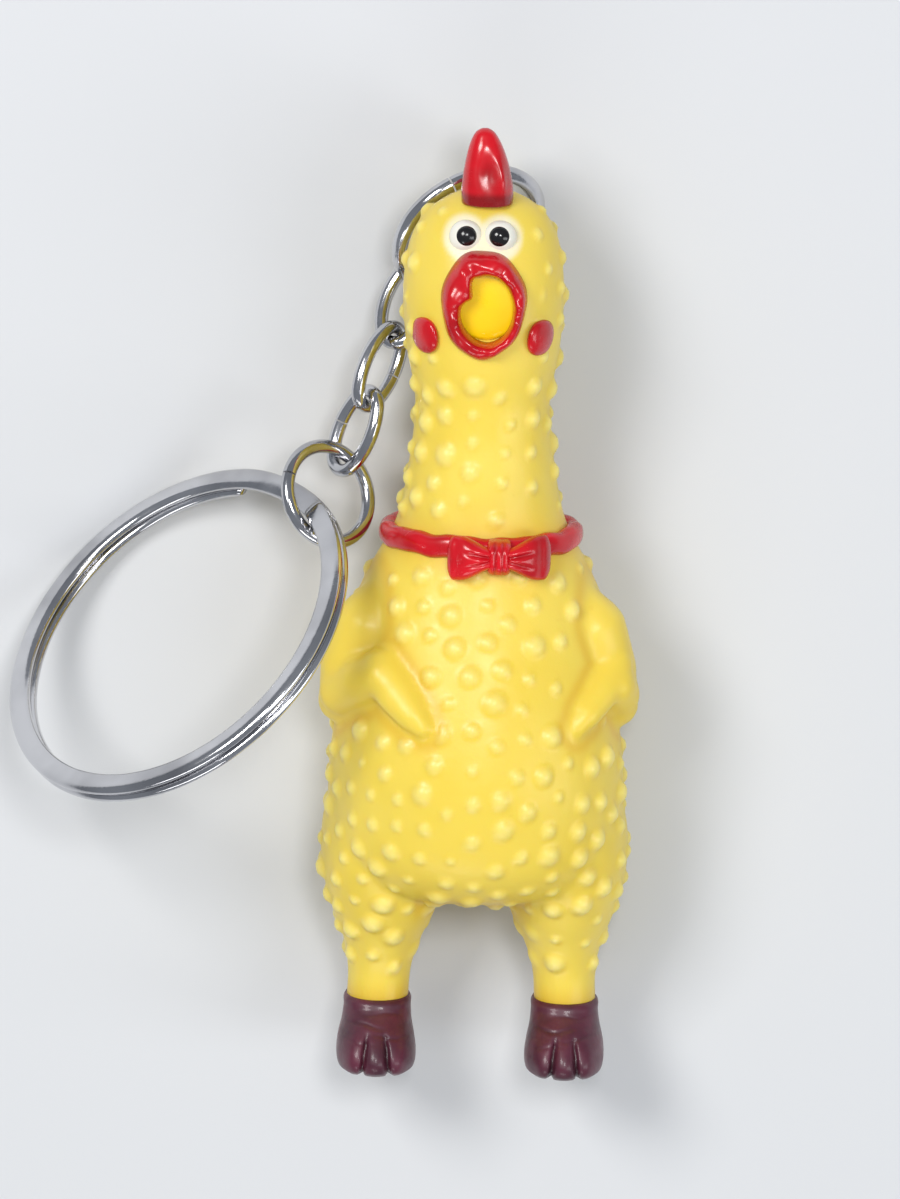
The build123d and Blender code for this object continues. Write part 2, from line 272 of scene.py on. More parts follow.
def soft_vinyl():
    """Pale yellow soft vinyl with painted shade in its folds and a painted highlight on its bumps, with a
    satin skin.
    """
    material, tree, shader = new_material("soft_vinyl_yellow")
    drift = noise_of(tree, 90, 2.0)
    base = ramp_of(tree, drift, [(0.3, (0.80, 0.585, 0.05)), (0.7, (0.85, 0.655, 0.095))])
    # painted shade: the colour is multiplied darker and warmer in the folds round the wings, under the
    # collar, at the belly's edge and at the ankles
    painted_fold_shade = ramp_of(tree, attribute_of(tree, "painted_shade"), [(0.0, (1, 1, 1)), (1.0, (0.88, 0.7, 0.3))])
    base = mixed(tree, 1.0, base, painted_fold_shade, "MULTIPLY")
    # painted highlight: the tops of the bumps are mixed towards a paler yellow
    base = mixed(tree, attribute_of(tree, "bump_painted_highlight"), base, (0.91, 0.8, 0.29))
    base = mixed(tree, attribute_of(tree, "eye_paint"), base, (0.93, 0.88, 0.72))
    specks = ramp_of(tree, noise_of(tree, 900, 1.0), [(0.0, (0.72, 0.52, 0.2)), (0.24, (1, 1, 1))])
    base = mixed(tree, 0.35, base, mixed(tree, 1.0, base, specks, "MULTIPLY"))
    tree.links.new(base, shader.inputs["Base Color"])
    rough = ramp_of(tree, noise_of(tree, 400, 4.0), [(0.3, (0.34,) * 3), (0.75, (0.5,) * 3)])
    tree.links.new(rough, shader.inputs["Roughness"])
    shader.inputs["Subsurface Weight"].default_value = 0.22
    shader.inputs["Subsurface Radius"].default_value = (1.0, 0.65, 0.1)
    shader.inputs["Subsurface Scale"].default_value = 0.0016
    shader.inputs["Coat Weight"].default_value = 0.1
    shader.inputs["Coat Roughness"].default_value = 0.3
    bumped(tree, shader, noise_of(tree, 1500, 4.0, 0.6), 0.00003, 0.5)
    return material


def gloss_paint(name, light, dark, roughness=0.2, scale=260, grain=0.00003):
    """A glossy moulded or painted colour, darker with painted shade in its hollows, creases and lower edges,
    with small ripples.
    """
    material, tree, shader = new_material(name)
    tone = ramp_of(tree, noise_of(tree, scale, 3.0), [(0.32, dark), (0.68, light)])
    # painted shade: the colour is multiplied darker where each piece sets its values of shade
    painted_shade_tint = ramp_of(tree, attribute_of(tree, "painted_shade"), [(0.0, (1, 1, 1)), (1.0, (0.42, 0.3, 0.32))])
    tree.links.new(mixed(tree, 1.0, tone, painted_shade_tint, "MULTIPLY"), shader.inputs["Base Color"])
    rough = ramp_of(
        tree, noise_of(tree, scale * 3, 4.0), [(0.3, (roughness,) * 3), (0.8, (roughness + 0.16,) * 3)]
    )
    tree.links.new(rough, shader.inputs["Roughness"])
    shader.inputs["Subsurface Weight"].default_value = 0.03
    shader.inputs["Subsurface Radius"].default_value = (1.0, 0.2, 0.1)
    shader.inputs["Subsurface Scale"].default_value = 0.0006
    shader.inputs["Coat Weight"].default_value = 0.2
    shader.inputs["Coat Roughness"].default_value = 0.1
    bumped(tree, shader, noise_of(tree, scale * 2.2, 3.0), grain, 0.7)
    return material


def bright_plating():
    """Nickel-plated steel wire with fine drawn lines and a few dull patches."""
    material, tree, shader = new_material("bright_plating")
    tone = ramp_of(tree, noise_of(tree, 160, 3.0), [(0.25, (0.42, 0.42, 0.44)), (0.6, (0.66, 0.66, 0.68))])
    tree.links.new(tone, shader.inputs["Base Color"])
    shader.inputs["Metallic"].default_value = 1.0
    rough = ramp_of(tree, noise_of(tree, 500, 5.0, 0.65), [(0.35, (0.07,) * 3), (0.8, (0.24,) * 3)])
    tree.links.new(rough, shader.inputs["Roughness"])
    bumped(tree, shader, noise_of(tree, 900, 4.0, 0.6, (1, 1, 4)), 0.00002, 0.35)
    return material


vinyl = soft_vinyl()
red = gloss_paint("gloss_red", (0.66, 0.003, 0.012), (0.4, 0.001, 0.005), 0.18)
maroon = gloss_paint("maroon_foot_paint", (0.11, 0.014, 0.036), (0.055, 0.007, 0.02), 0.4, 420, 0.00006)
white = gloss_paint("eye_white_paint", (0.9, 0.88, 0.8), (0.8, 0.78, 0.68), 0.16, 200)
black = gloss_paint("pupil_black_paint", (0.012, 0.011, 0.012), (0.004, 0.004, 0.004), 0.12, 200)
squeaker_yellow = gloss_paint("squeaker_yellow_plastic", (1.0, 0.76, 0.004), (0.96, 0.66, 0.002), 0.24, 150)
reed_white = gloss_paint("reed_film", (0.86, 0.86, 0.82), (0.74, 0.74, 0.7), 0.35, 300)
plating = bright_plating()

# ---- the moulded body ----
# trunk, neck and head: height, half width, back, front, centre, squareness
TRUNK = [
    (13.75, 4.2, 5.2, 12.2, 0.0, 2.2),
    (14.4, 7.0, 2.9, 15.0, 0.0, 2.2),
    (15.6, 9.2, 1.4, 16.9, 0.0, 2.1),
    (17.6, 10.6, 0.4, 18.4, 0.0, 2.05),
    (20.5, 11.3, -0.2, 19.2, 0.0, 2.0),
    (24.5, 11.3, -0.4, 19.6, 0.0, 2.0),
    (29.0, 10.8, -0.2, 19.0, 0.0, 2.0),
    (33.5, 10.4, 0.5, 17.9, 0.0, 2.0),
    (37.0, 9.6, 1.5, 16.9, 0.0, 2.0),
    (40.0, 8.3, 2.7, 16.2, 0.0, 2.0),
    (43.4, 6.55, 3.7, 15.8, 0.0, 2.0),
    (47.0, 5.75, 4.6, 15.6, -0.05, 2.0),
    (52.8, 5.15, 5.3, 15.5, -0.1, 2.0),
    (57.2, 5.85, 5.3, 16.5, -0.15, 2.0),
    (61.5, 6.15, 5.2, 17.0, -0.2, 2.0),
    (65.2, 5.75, 5.6, 16.2, -0.2, 2.05),
    (67.4, 4.8, 7.5, 15.1, -0.15, 2.0),
    (68.7, 3.4, 9.0, 13.9, -0.1, 2.0),
    (69.4, 1.9, 9.9, 12.6, -0.1, 2.0),
]
# height, centre, half width, back, front
LEG = [
    (24.0, 6.2, 4.0, 4.0, 14.0),
    (20.5, 6.7, 4.9, 2.9, 15.2),
    (17.5, 6.85, 5.0, 2.6, 14.9),
    (15.3, 6.9, 4.75, 2.7, 14.3),
    (12.3, 6.9, 3.95, 3.3, 12.8),
    (10.0, 7.0, 3.0, 4.1, 11.4),
    (7.6, 7.15, 2.45, 4.8, 10.4),
    (5.0, 7.25, 2.4, 5.0, 10.3),
]
# each wing as limbs of (side, height, z) and radius: arm, forearm and hand
WINGS = {
    "left": [
        [
            ((-6.4, 38.4, 11.0), 1.8),
            ((-8.4, 35.6, 11.9), 2.7),
            ((-9.6, 31.8, 11.6), 2.7),
            ((-10.5, 29.5, 11.2), 1.8),
        ],
        [((-10.3, 30.4, 12.4), 1.9), ((-8.6, 31.8, 14.6), 2.0), ((-7.4, 32.4, 15.8), 1.7)],
        [
            ((-7.6, 33.0, 15.7), 1.55),
            ((-6.2, 31.2, 17.0), 1.6),
            ((-4.9, 29.7, 18.1), 1.2),
            ((-4.2, 29.0, 18.6), 0.75),
        ],
    ],
    "right": [
        [
            ((6.8, 38.2, 10.6), 1.6),
            ((8.8, 35.6, 11.3), 2.5),
            ((9.8, 31.8, 11.0), 2.5),
            ((10.7, 29.4, 10.6), 1.7),
        ],
        [((10.8, 30.4, 11.4), 1.7), ((10.4, 31.4, 12.8), 1.7)],
        [
            ((10.5, 33.0, 12.6), 1.35),
            ((9.5, 31.2, 14.2), 1.4),
            ((8.3, 29.6, 15.6), 1.15),
            ((7.6, 28.7, 16.2), 0.75),
        ],
    ],
}
LIMB_FLATNESS = (1.0, 1.0, 0.8)


def front(x, height):
    """z of the trunk's or head's front over a point."""
    half_width, back, near, centre, square = between(TRUNK, height)
    share = min(abs(x - centre) / half_width, 0.995)
    return (back + near) / 2 + (near - back) / 2 * (1 - share**square) ** (1 / square)


SKIN_VOXEL = 0.30 * MM
SOFTENING = 7  # rounds of smoothing where the limbs run into the trunk


def steps(low, high, count):
    """count values from low to high."""
    return [low + (high - low) * k / (count - 1) for k in range(count)]


def moulded_body():
    """Trunk, legs and wings made one closed skin."""
    pile = []
    rings = []
    for height in steps(TRUNK[0][0], TRUNK[-1][0], 111):
        half_width, back, near, centre, square = between(TRUNK, height)
        rings.append(oval(centre, height, half_width, back, near, 64, square))
    pile.append(ring_skin(rings))
    for _, sign in SIDES:
        rings = []
        for height in steps(LEG[-1][0], LEG[0][0], 40):
            centre, half_width, back, near = between(LEG, height)
            rings.append(oval(sign * centre, height, half_width, back, near, 40))
        pile.append(ring_skin(rings))
    for wing in WINGS.values():
        for limb, flat in zip(wing, LIMB_FLATNESS):
            pile.append(tapered([p for p, r in limb], [r for p, r in limb], flat=flat))
    pieces = [mesh_object("part_of_skin", verts, faces) for verts, faces in pile]
    bpy.ops.object.select_all(action="DESELECT")
    for piece in pieces:
        piece.select_set(True)
    bpy.context.view_layer.objects.active = pieces[0]
    bpy.ops.object.join()
    skin = bpy.context.view_layer.objects.active
    skin.name = "vinyl_body"
    remesh = skin.modifiers.new("one_skin", "REMESH")
    remesh.mode = "VOXEL"
    remesh.voxel_size = SKIN_VOXEL
    remesh.use_smooth_shade = True
    smooth = skin.modifiers.new("soften", "SMOOTH")
    smooth.factor = 0.5
    smooth.iterations = SOFTENING
    return baked(skin)


def limb_distance(points, limb):
    """Distance from each point (side, height, z in mm) to a limb's surface."""
    best = np.full(len(points), 1e9)
    for (a, ra), (b, rb) in zip(limb, limb[1:]):
        a, b = np.array(a), np.array(b)
        way = b - a
        share = np.clip(((points - a) @ way) / (way @ way), 0, 1)
        gap = np.linalg.norm(points - (a + share[:, None] * way), axis=1) - (ra + (rb - ra) * share)
        best = np.minimum(best, gap)
    return best


def ease(value, low, high):
    t = np.clip((value - low) / (high - low), 0, 1)
    return t * t * (3 - 2 * t)


def set_point_values(obj, name, values):
    layer = obj.data.attributes.new(name, "FLOAT", "POINT")
    layer.data.foreach_set("value", np.asarray(values, dtype=np.float32))


def places_of(obj):
    flat = np.empty(len(obj.data.vertices) * 3, dtype=np.float32)
    obj.data.vertices.foreach_get("co", flat)
    points = flat.reshape(-1, 3).astype(float) / MM
    points[:, 1] += REST_HEIGHT
    return points


def put_places(obj, points):
    moved = points.copy()
    moved[:, 1] -= REST_HEIGHT
    obj.data.vertices.foreach_set("co", (moved * MM).astype(np.float32).ravel())
    obj.data.update()


def bump_tree():
    """Geometry nodes: round bumps of mixed size grown out of a skin where its bumpy attribute is high."""
    tree = bpy.data.node_groups.new("round_bumps", "GeometryNodeTree")
    face = tree.interface
    face.new_socket("Geometry", in_out="INPUT", socket_type="NodeSocketGeometry")
    for label, value in (("Spacing", 0.0021), ("Radius", 0.00098), ("Height", 0.00046)):
        face.new_socket(label, in_out="INPUT", socket_type="NodeSocketFloat").default_value = value
    face.new_socket("Seed", in_out="INPUT", socket_type="NodeSocketInt").default_value = 5
    face.new_socket("Material", in_out="INPUT", socket_type="NodeSocketMaterial")
    face.new_socket("Geometry", in_out="OUTPUT", socket_type="NodeSocketGeometry")
    nodes, links = tree.nodes, tree.links
    start = nodes.new("NodeGroupInput")
    end = nodes.new("NodeGroupOutput")

    def math_node(operation, first, second=None, clamp=False):
        node = nodes.new("ShaderNodeMath")
        node.operation = operation
        node.use_clamp = clamp
        for index, value in enumerate((first, second)):
            if value is None:
                continue
            if isinstance(value, bpy.types.NodeSocket):
                links.new(value, node.inputs[index])
            else:
                node.inputs[index].default_value = value
        return node.outputs[0]

    mask = nodes.new("GeometryNodeInputNamedAttribute")
    mask.data_type = "FLOAT"
    mask.inputs["Name"].default_value = "bumpy"
    scatter = nodes.new("GeometryNodeDistributePointsOnFaces")
    scatter.distribute_method = "POISSON"
    scatter.inputs["Density Max"].default_value = 2500000
    links.new(start.outputs["Geometry"], scatter.inputs["Mesh"])
    links.new(start.outputs["Spacing"], scatter.inputs["Distance Min"])
    links.new(start.outputs["Seed"], scatter.inputs["Seed"])
    links.new(math_node("GREATER_THAN", mask.outputs["Attribute"], 0.2), scatter.inputs["Density Factor"])

    place = nodes.new("GeometryNodeInputPosition")
    nearest = nodes.new("GeometryNodeSampleNearest")
    nearest.domain = "POINT"
    links.new(scatter.outputs["Points"], nearest.inputs["Geometry"])
    sample = nodes.new("GeometryNodeSampleIndex")
    sample.data_type = "FLOAT_VECTOR"
    links.new(scatter.outputs["Points"], sample.inputs["Geometry"])
    links.new(place.outputs[0], sample.inputs["Value"])
    links.new(nearest.outputs[0], sample.inputs["Index"])
    gap = nodes.new("ShaderNodeVectorMath")
    gap.operation = "DISTANCE"
    links.new(place.outputs[0], gap.inputs[0])
    links.new(sample.outputs[0], gap.inputs[1])

    size = nodes.new("FunctionNodeRandomValue")
    size.data_type = "FLOAT"
    size.inputs[2].default_value = 0.5
    size.inputs[3].default_value = 1.15
    links.new(nearest.outputs[0], size.inputs["ID"])
    links.new(start.outputs["Seed"], size.inputs["Seed"])
    reach = math_node("MULTIPLY", start.outputs["Radius"], size.outputs[1])
    share = math_node("SUBTRACT", 1.0, math_node("DIVIDE", gap.outputs["Value"], reach), True)
    smooth = nodes.new("ShaderNodeMapRange")
    smooth.interpolation_type = "SMOOTHSTEP"
    smooth.inputs["From Max"].default_value = 0.75
    links.new(share, smooth.inputs["Value"])
    dome = math_node("MULTIPLY", smooth.outputs[0], mask.outputs["Attribute"])
    rise = math_node("MULTIPLY", dome, math_node("MULTIPLY", start.outputs["Height"], size.outputs[1]))

    normal = nodes.new("GeometryNodeInputNormal")
    lift = nodes.new("ShaderNodeVectorMath")
    lift.operation = "SCALE"
    links.new(normal.outputs[0], lift.inputs[0])
    links.new(rise, lift.inputs["Scale"])
    # the domes of the bumps are stored for the painted highlight on their tops
    store = nodes.new("GeometryNodeStoreNamedAttribute")
    store.data_type = "FLOAT"
    store.domain = "POINT"
    store.inputs["Name"].default_value = "bump_painted_highlight"
    links.new(start.outputs["Geometry"], store.inputs["Geometry"])
    links.new(math_node("MULTIPLY", dome, 0.6), store.inputs["Value"])
    move = nodes.new("GeometryNodeSetPosition")
    links.new(store.outputs[0], move.inputs["Geometry"])
    links.new(lift.outputs[0], move.inputs["Offset"])
    realize = nodes.new("GeometryNodeRealizeInstances")
    links.new(move.outputs[0], realize.inputs[0])
    finish = nodes.new("GeometryNodeSetMaterial")
    links.new(realize.outputs[0], finish.inputs["Geometry"])
    links.new(start.outputs["Material"], finish.inputs["Material"])
    links.new(finish.outputs[0], end.inputs[0])
    return tree


def with_tree(obj, tree, **values):
    """The object run through a node tree, with the tree's inputs set by their labels."""
    step = obj.modifiers.new(tree.name, "NODES")
    step.node_group = tree
    for item in tree.interface.items_tree:
        if item.in_out == "INPUT" and item.name in values:
            step[item.identifier] = values[item.name]
    return baked(obj)


def front_share(points):
    """How much each point looks straight out of the chicken's front, from 0 to 1."""
    share = np.zeros(len(points))
    for k, (x, height, z) in enumerate(points):
        if z > 10:
            half_width = between(TRUNK, height)[0]
            share[k] = max(0.0, 1 - (x / half_width) ** 2) if height > 14 else 0.0
    return share


MOUTH = (0.05, 61.5)
MOUTH_SEMI = (2.35, 3.0)
MOUTH_FLOOR = 15.0  # z of the skin under the squeaker's face
FACE = (-0.2, 62.6)
FACE_SEMI = (4.6, 6.6)
COLLAR_HEIGHT = 42.4
EYE_SIDES = (-1.66, 0.96)
HEAD_RING_CENTRE = np.array((-1.452, 65.136, 4.60))
HEAD_RING_NORMAL = np.array((0.4231, -0.5404, 0.7273))
HEAD_RING_RADIUS = 5.77

body = moulded_body()
points = places_of(body)
# the mouth is sunk below the squeaker's face
side, height, depth = points.T
inside = ((side - MOUTH[0]) / MOUTH_SEMI[0]) ** 2 + ((height - MOUTH[1]) / MOUTH_SEMI[1]) ** 2
sunk = 1 - ease(inside, 0.85, 1.15)
points[:, 2] = np.where(depth > 12, depth * (1 - sunk) + MOUTH_FLOOR * sunk, depth)
points[:, 2] = np.maximum(points[:, 2], 0.0)
put_places(body, points)

wing_gap = np.minimum.reduce([limb_distance(points, limb) for wing in WINGS.values() for limb in wing])
face_gap = np.hypot((side - FACE[0]) / FACE_SEMI[0], (height - FACE[1]) / FACE_SEMI[1])
# bumps grow on neither wings, face, ankles, collar line nor crown
bumpy = ease(wing_gap, 0.3, 1.0)
bumpy *= np.where(depth > 12, ease(face_gap, 0.9, 1.1), 1.0)
bumpy *= ease(height, 6.6, 8.4)
bumpy *= ease(np.abs(height - COLLAR_HEIGHT), 1.3, 2.2)
bumpy *= 1 - ease(height, 67.8, 69.2)
# the inner sides of the legs are smoother
bumpy *= 1 - 0.6 * (ease(-height, -14.5, -12.0) * ease(-np.abs(side), -6.5, -5.0))
# bumps on the front of the neck and belly are lower than those at the sides
bumpy *= 1 - 0.35 * front_share(points)
# the skin is smooth where the head ring lies against it
offset = points - HEAD_RING_CENTRE
lift = offset @ HEAD_RING_NORMAL
from_axis = np.linalg.norm(offset - lift[:, None] * HEAD_RING_NORMAL, axis=1)
bumpy *= ease(np.hypot(from_axis - HEAD_RING_RADIUS, lift), 1.3, 1.9)
set_point_values(body, "bumpy", bumpy)
# painted shade in the folds: round the wings, under the collar, at the belly's lower edge and at the ankles
painted_shade = np.exp(-(((wing_gap - 0.75) / 0.5) ** 2)) * 0.6
painted_shade = np.maximum(painted_shade, np.exp(-(((height - COLLAR_HEIGHT) / 1.6) ** 2)) * 0.55)
painted_shade = np.maximum(painted_shade, 0.55 * np.exp(-(((height - 13.9) / 1.2) ** 2)) * (np.abs(side) < 4.5))
painted_shade = np.maximum(painted_shade, 0.6 * (1 - ease(height, 5.4, 7.2)))
set_point_values(body, "painted_shade", painted_shade)
# a thin film of the eyes' white paint spreads a little round them
film = np.zeros(len(points))
for x in EYE_SIDES:
    film = np.maximum(film, 1 - ease(np.hypot(side - x, height - 66.4), 1.35, 1.95))
set_point_values(body, "eye_paint", film * (depth > 13) * 0.75)
with_tree(body, bump_tree(), Material=vinyl)
points = places_of(body)
points[:, 2] = np.maximum(points[:, 2], 0.0)
put_places(body, points)
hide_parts("body_shell")
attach(body, "chicken")

# the hang tab behind the comb, a flat plate with a rounded end round its hole
TAB_HOLE = Vector((0.0, 69.99 - REST_HEIGHT, 7.36))
TAB_AXIS = Vector((0.874, 0.031, -0.485)).normalized()
TAB_HOLE_RADIUS, TAB_RADIUS, TAB_ROOT = 1.0, 1.95, 4.4
TAB_COUNT = 72
along = (Vector((0, 1, 0)) - TAB_AXIS * TAB_AXIS.y).normalized()
across_tab = TAB_AXIS.cross(along)
verts = []
for k in range(TAB_COUNT):
    turn = TAU * k / TAB_COUNT
    c, s = math.cos(turn), math.sin(turn)
    reach = TAB_RADIUS
    if c < 0:
        reach = min(TAB_RADIUS / max(abs(s), 1e-6), TAB_ROOT / max(-c, 1e-6))
    profile = [
        (TAB_HOLE_RADIUS, -0.7),
        (TAB_HOLE_RADIUS, 0.7),
        (TAB_HOLE_RADIUS + 0.16, 0.9),
        (reach - 0.25, 0.9),
        (reach - 0.07, 0.8),
        (reach, 0.55),
        (reach, -0.55),
        (reach - 0.07, -0.8),
        (reach - 0.25, -0.9),
        (TAB_HOLE_RADIUS + 0.16, -0.9),
    ]
    for out, aside in profile:
        verts.append((TAB_HOLE + (along * c + across_tab * s) * out + TAB_AXIS * aside) * MM)
tab = mesh_object("hang_tab", verts, tube_faces(TAB_COUNT, len(profile)))
tab.data.materials.append(vinyl)
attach(tab, "chicken")


# ---- painted and raised features ----
def finish_piece(obj, material, slot_name, *nodes):
    obj.data.materials.clear()
    obj.data.materials.append(material)
    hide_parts(*nodes)
    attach(obj, "chicken")
    return obj


def sculpted(obj, shape, painted_shade=None):
    """The object with its points moved by shape(points), and the attribute for its painted shade set by its
    third argument.
    """
    points = places_of(obj)
    values = painted_shade(points) if painted_shade else np.zeros(len(points))
    put_places(obj, shape(points) if shape else points)
    set_point_values(obj, "painted_shade", np.clip(values, 0, 1))
    return obj


# height, centre, half width, back, front
COMB = [
    (68.6, -0.08, 1.95, 10.9, 14.9),
    (69.6, -0.08, 1.98, 11.0, 15.0),
    (70.8, -0.12, 1.86, 11.3, 15.0),
    (72.0, -0.18, 1.62, 11.7, 14.9),
    (73.1, -0.26, 1.3, 12.1, 14.7),
    (73.9, -0.32, 0.95, 12.5, 14.4),
    (74.35, -0.34, 0.62, 12.85, 14.15),
    (74.55, -0.34, 0.25, 13.25, 13.75),
]
rings = []
for height in steps(COMB[0][0], COMB[-1][0], 34):
    centre, half_width, back, near = between(COMB, height)
    rings.append(oval(centre, height, half_width, back, near, 36, 2.2))
comb = subdivided(mesh_object("red_comb", *ring_skin(rings)), 1)


def comb_shape(points):
    x, height, z = points.T
    face = ease(z, 13.0, 14.2)
    hollow = np.exp(-(((x + 0.1) / 0.75) ** 2) - ((height - 71.3) / 1.3) ** 2)
    ridge = np.exp(-(((x - 0.95 + 0.12 * (height - 70)) / 0.4) ** 2) - ((height - 70.9) / 1.3) ** 2)
    z = z + face * (-0.28 * hollow + 0.3 * ridge)
    x = x + 0.22 * ridge * (x > 0)
    return np.stack([x, height, z], 1)


# painted shade in the comb's hollow and at its base against the head
def comb_painted_shade(points):
    x, height, z = points.T
    hollow = np.exp(-(((x + 0.1) / 0.6) ** 2) - ((height - 71.2) / 1.1) ** 2) * (z > 13)
    return 0.55 * hollow + 0.9 * (1 - ease(height, 69.3, 69.9))


sculpted(comb, comb_shape, comb_painted_shade)
finish_piece(comb, red, "red_paint", "comb")


LIP_COUNT = 96


def beak():
    """The lips: a fleshy ring round an uneven opening, deeper at its foot, sunk into the face."""
    rows = []
    for k in range(LIP_COUNT):
        turn = TAU * k / LIP_COUNT
        c, s = math.cos(turn), math.sin(turn)
        # the opening has a notch at its upper left, and leans to the right
        notch = math.exp(-(((turn - 2.62) / 0.3) ** 2))
        brow = math.exp(-(((turn - 2.08) / 0.17) ** 2))
        inner = 1.0 - 0.34 * notch + 0.07 * brow + 0.05 * math.exp(-(((turn - 3.5) / 0.4) ** 2))
        outer = 1.0 + 0.018 * math.sin(3 * turn + 0.7) + 0.015 * math.sin(7 * turn)
        crest = 0.2 * math.sin(2 * turn + 2.4) + 0.14 * math.sin(5 * turn + 1.1)
        in_x, in_h = 0.1 + 1.96 * inner * c, 61.1 + 2.6 * inner * s
        out_x, out_h = -0.2 + 3.28 * outer * c, 61.5 + 4.2 * outer * s
        foot = front(out_x, out_h) - 0.35
        top = max(foot + 1.2, 17.75) + 0.18 * crest
        profile = [
            (0.0, 15.2),
            (0.0, 16.0),
            (0.01, 16.7),
            (0.07, 17.25),
            (0.18, top - 0.1),
            (0.36, top + 0.03),
            (0.56, top),
            (0.76, top - 0.2),
            (0.9, top * 0.6 + foot * 0.4),
            (0.98, top * 0.3 + foot * 0.7),
            (1.0, foot),
            (0.98, foot - 0.8),
        ]
        rows.append([at(in_x + (out_x - in_x) * t, in_h + (out_h - in_h) * t, z) for t, z in profile])
    verts = [v for row in rows for v in row]
    return mesh_object("red_beak_lips", verts, tube_faces(LIP_COUNT, len(rows[0])))


lips = subdivided(beak(), 2)


def lips_shape(points):
    x, height, z = points.T
    turn = np.arctan2(height - 61.5, x + 0.1)
    lumps = 0.07 * np.sin(9 * turn + 0.5) + 0.05 * np.sin(14 * turn + 2.0) + 0.04 * np.sin(5 * height + 3 * x)
    return np.stack([x, height, z + lumps * ease(z, 16.6, 17.6)], 1)


# painted shade on the lips, darker deeper into the mouth
def lips_painted_shade(points):
    x, height, z = points.T
    return 0.9 * (1 - ease(z, 15.6, 17.0))


sculpted(lips, lips_shape, lips_painted_shade)
finish_piece(lips, red, "red_paint", "beak_lips")


def pad(name, middle, half_width, half_height, rise, lean=0.0):
    """A low cushion-shaped pad that sits on the front of the chicken, its foot sunk into the skin."""
    sunk, square, count = 0.6, 2.2, 40
    rings = []
    for level_share in (-1.0, -0.55, 0.0, 0.3, 0.55, 0.75, 0.9, 0.98):
        spread = 1.0 if level_share <= 0 else (1 - level_share**2.4) ** (1 / 2.4)
        ring = []
        for k in range(count):
            turn = TAU * k / count
            c, s = math.cos(turn), math.sin(turn)
            reach = (abs(c) ** square + abs(s) ** square) ** (-1 / square)
            dx, dh = half_width * c * reach * spread, half_height * s * reach * spread
            x = middle[0] + dx * math.cos(lean) - dh * math.sin(lean)
            height = middle[1] + dx * math.sin(lean) + dh * math.cos(lean)
            base = front(x, height)
            z = base + (level_share * sunk if level_share < 0 else level_share * rise)
            ring.append(at(x, height, z))
        rings.append(ring)
    return subdivided(mesh_object(name, *ring_skin(rings)), 2)


HEAD_SHIFT = -0.2  # the head leans a little to the left
WATTLE_OUT = 4.38
for side, sign in SIDES:
    middle = sign * WATTLE_OUT + HEAD_SHIFT
    wattle = pad(f"wattle_pad_{side}", (middle, 58.75), 1.02, 1.42, 0.95, lean=sign * -0.12)

    def wattle_shape(points, middle=middle):
        x, height, z = points.T
        dent = np.exp(-(((x - middle - 0.15) / 0.5) ** 2) - ((height - 59.3) / 0.5) ** 2)
        return np.stack([x, height, z - 0.1 * dent], 1)

    # painted shade along the wattle's lower edge
    sculpted(wattle, wattle_shape, lambda p: 0.25 * (1 - ease(p[:, 1], 57.4, 58.6)))
    finish_piece(wattle, red, "red_paint", f"wattle_{side}")


def eye_ball(name, middle, radius, rise):
    """A painted bead: round from the front and rise deep."""
    rings = []
    for k in range(1, 16):
        angle = math.pi * k / 16
        ring = []
        for n in range(36):
            turn = TAU * n / 36
            ring.append(
                at(
                    middle[0] + radius * math.sin(angle) * math.cos(turn),
                    middle[1] + radius * math.sin(angle) * math.sin(turn),
                    middle[2] + rise * math.cos(angle),
                )
            )
        rings.append(ring)
    return subdivided(mesh_object(name, *ring_skin(rings)), 1)


EYE_MIDDLE = (-0.35, 66.5)
EYE_OUT = 1.31
for side, sign in SIDES:
    x, height = sign * EYE_OUT + EYE_MIDDLE[0], EYE_MIDDLE[1]
    eye_white = sculpted(eye_ball(f"painted_eye_{side}", (x, height, 15.15), 1.27, 1.12), None)
    finish_piece(eye_white, white, "eye_white", f"eye_white_{side}")
    # the pupils look a little inwards and up
    pupil_middle = (x - 0.04 * sign, height + 0.1, 15.74)
    pupil = sculpted(eye_ball(f"painted_pupil_{side}", pupil_middle, 0.86, 0.66), None)
    finish_piece(pupil, black, "pupil_black", f"pupil_{side}")

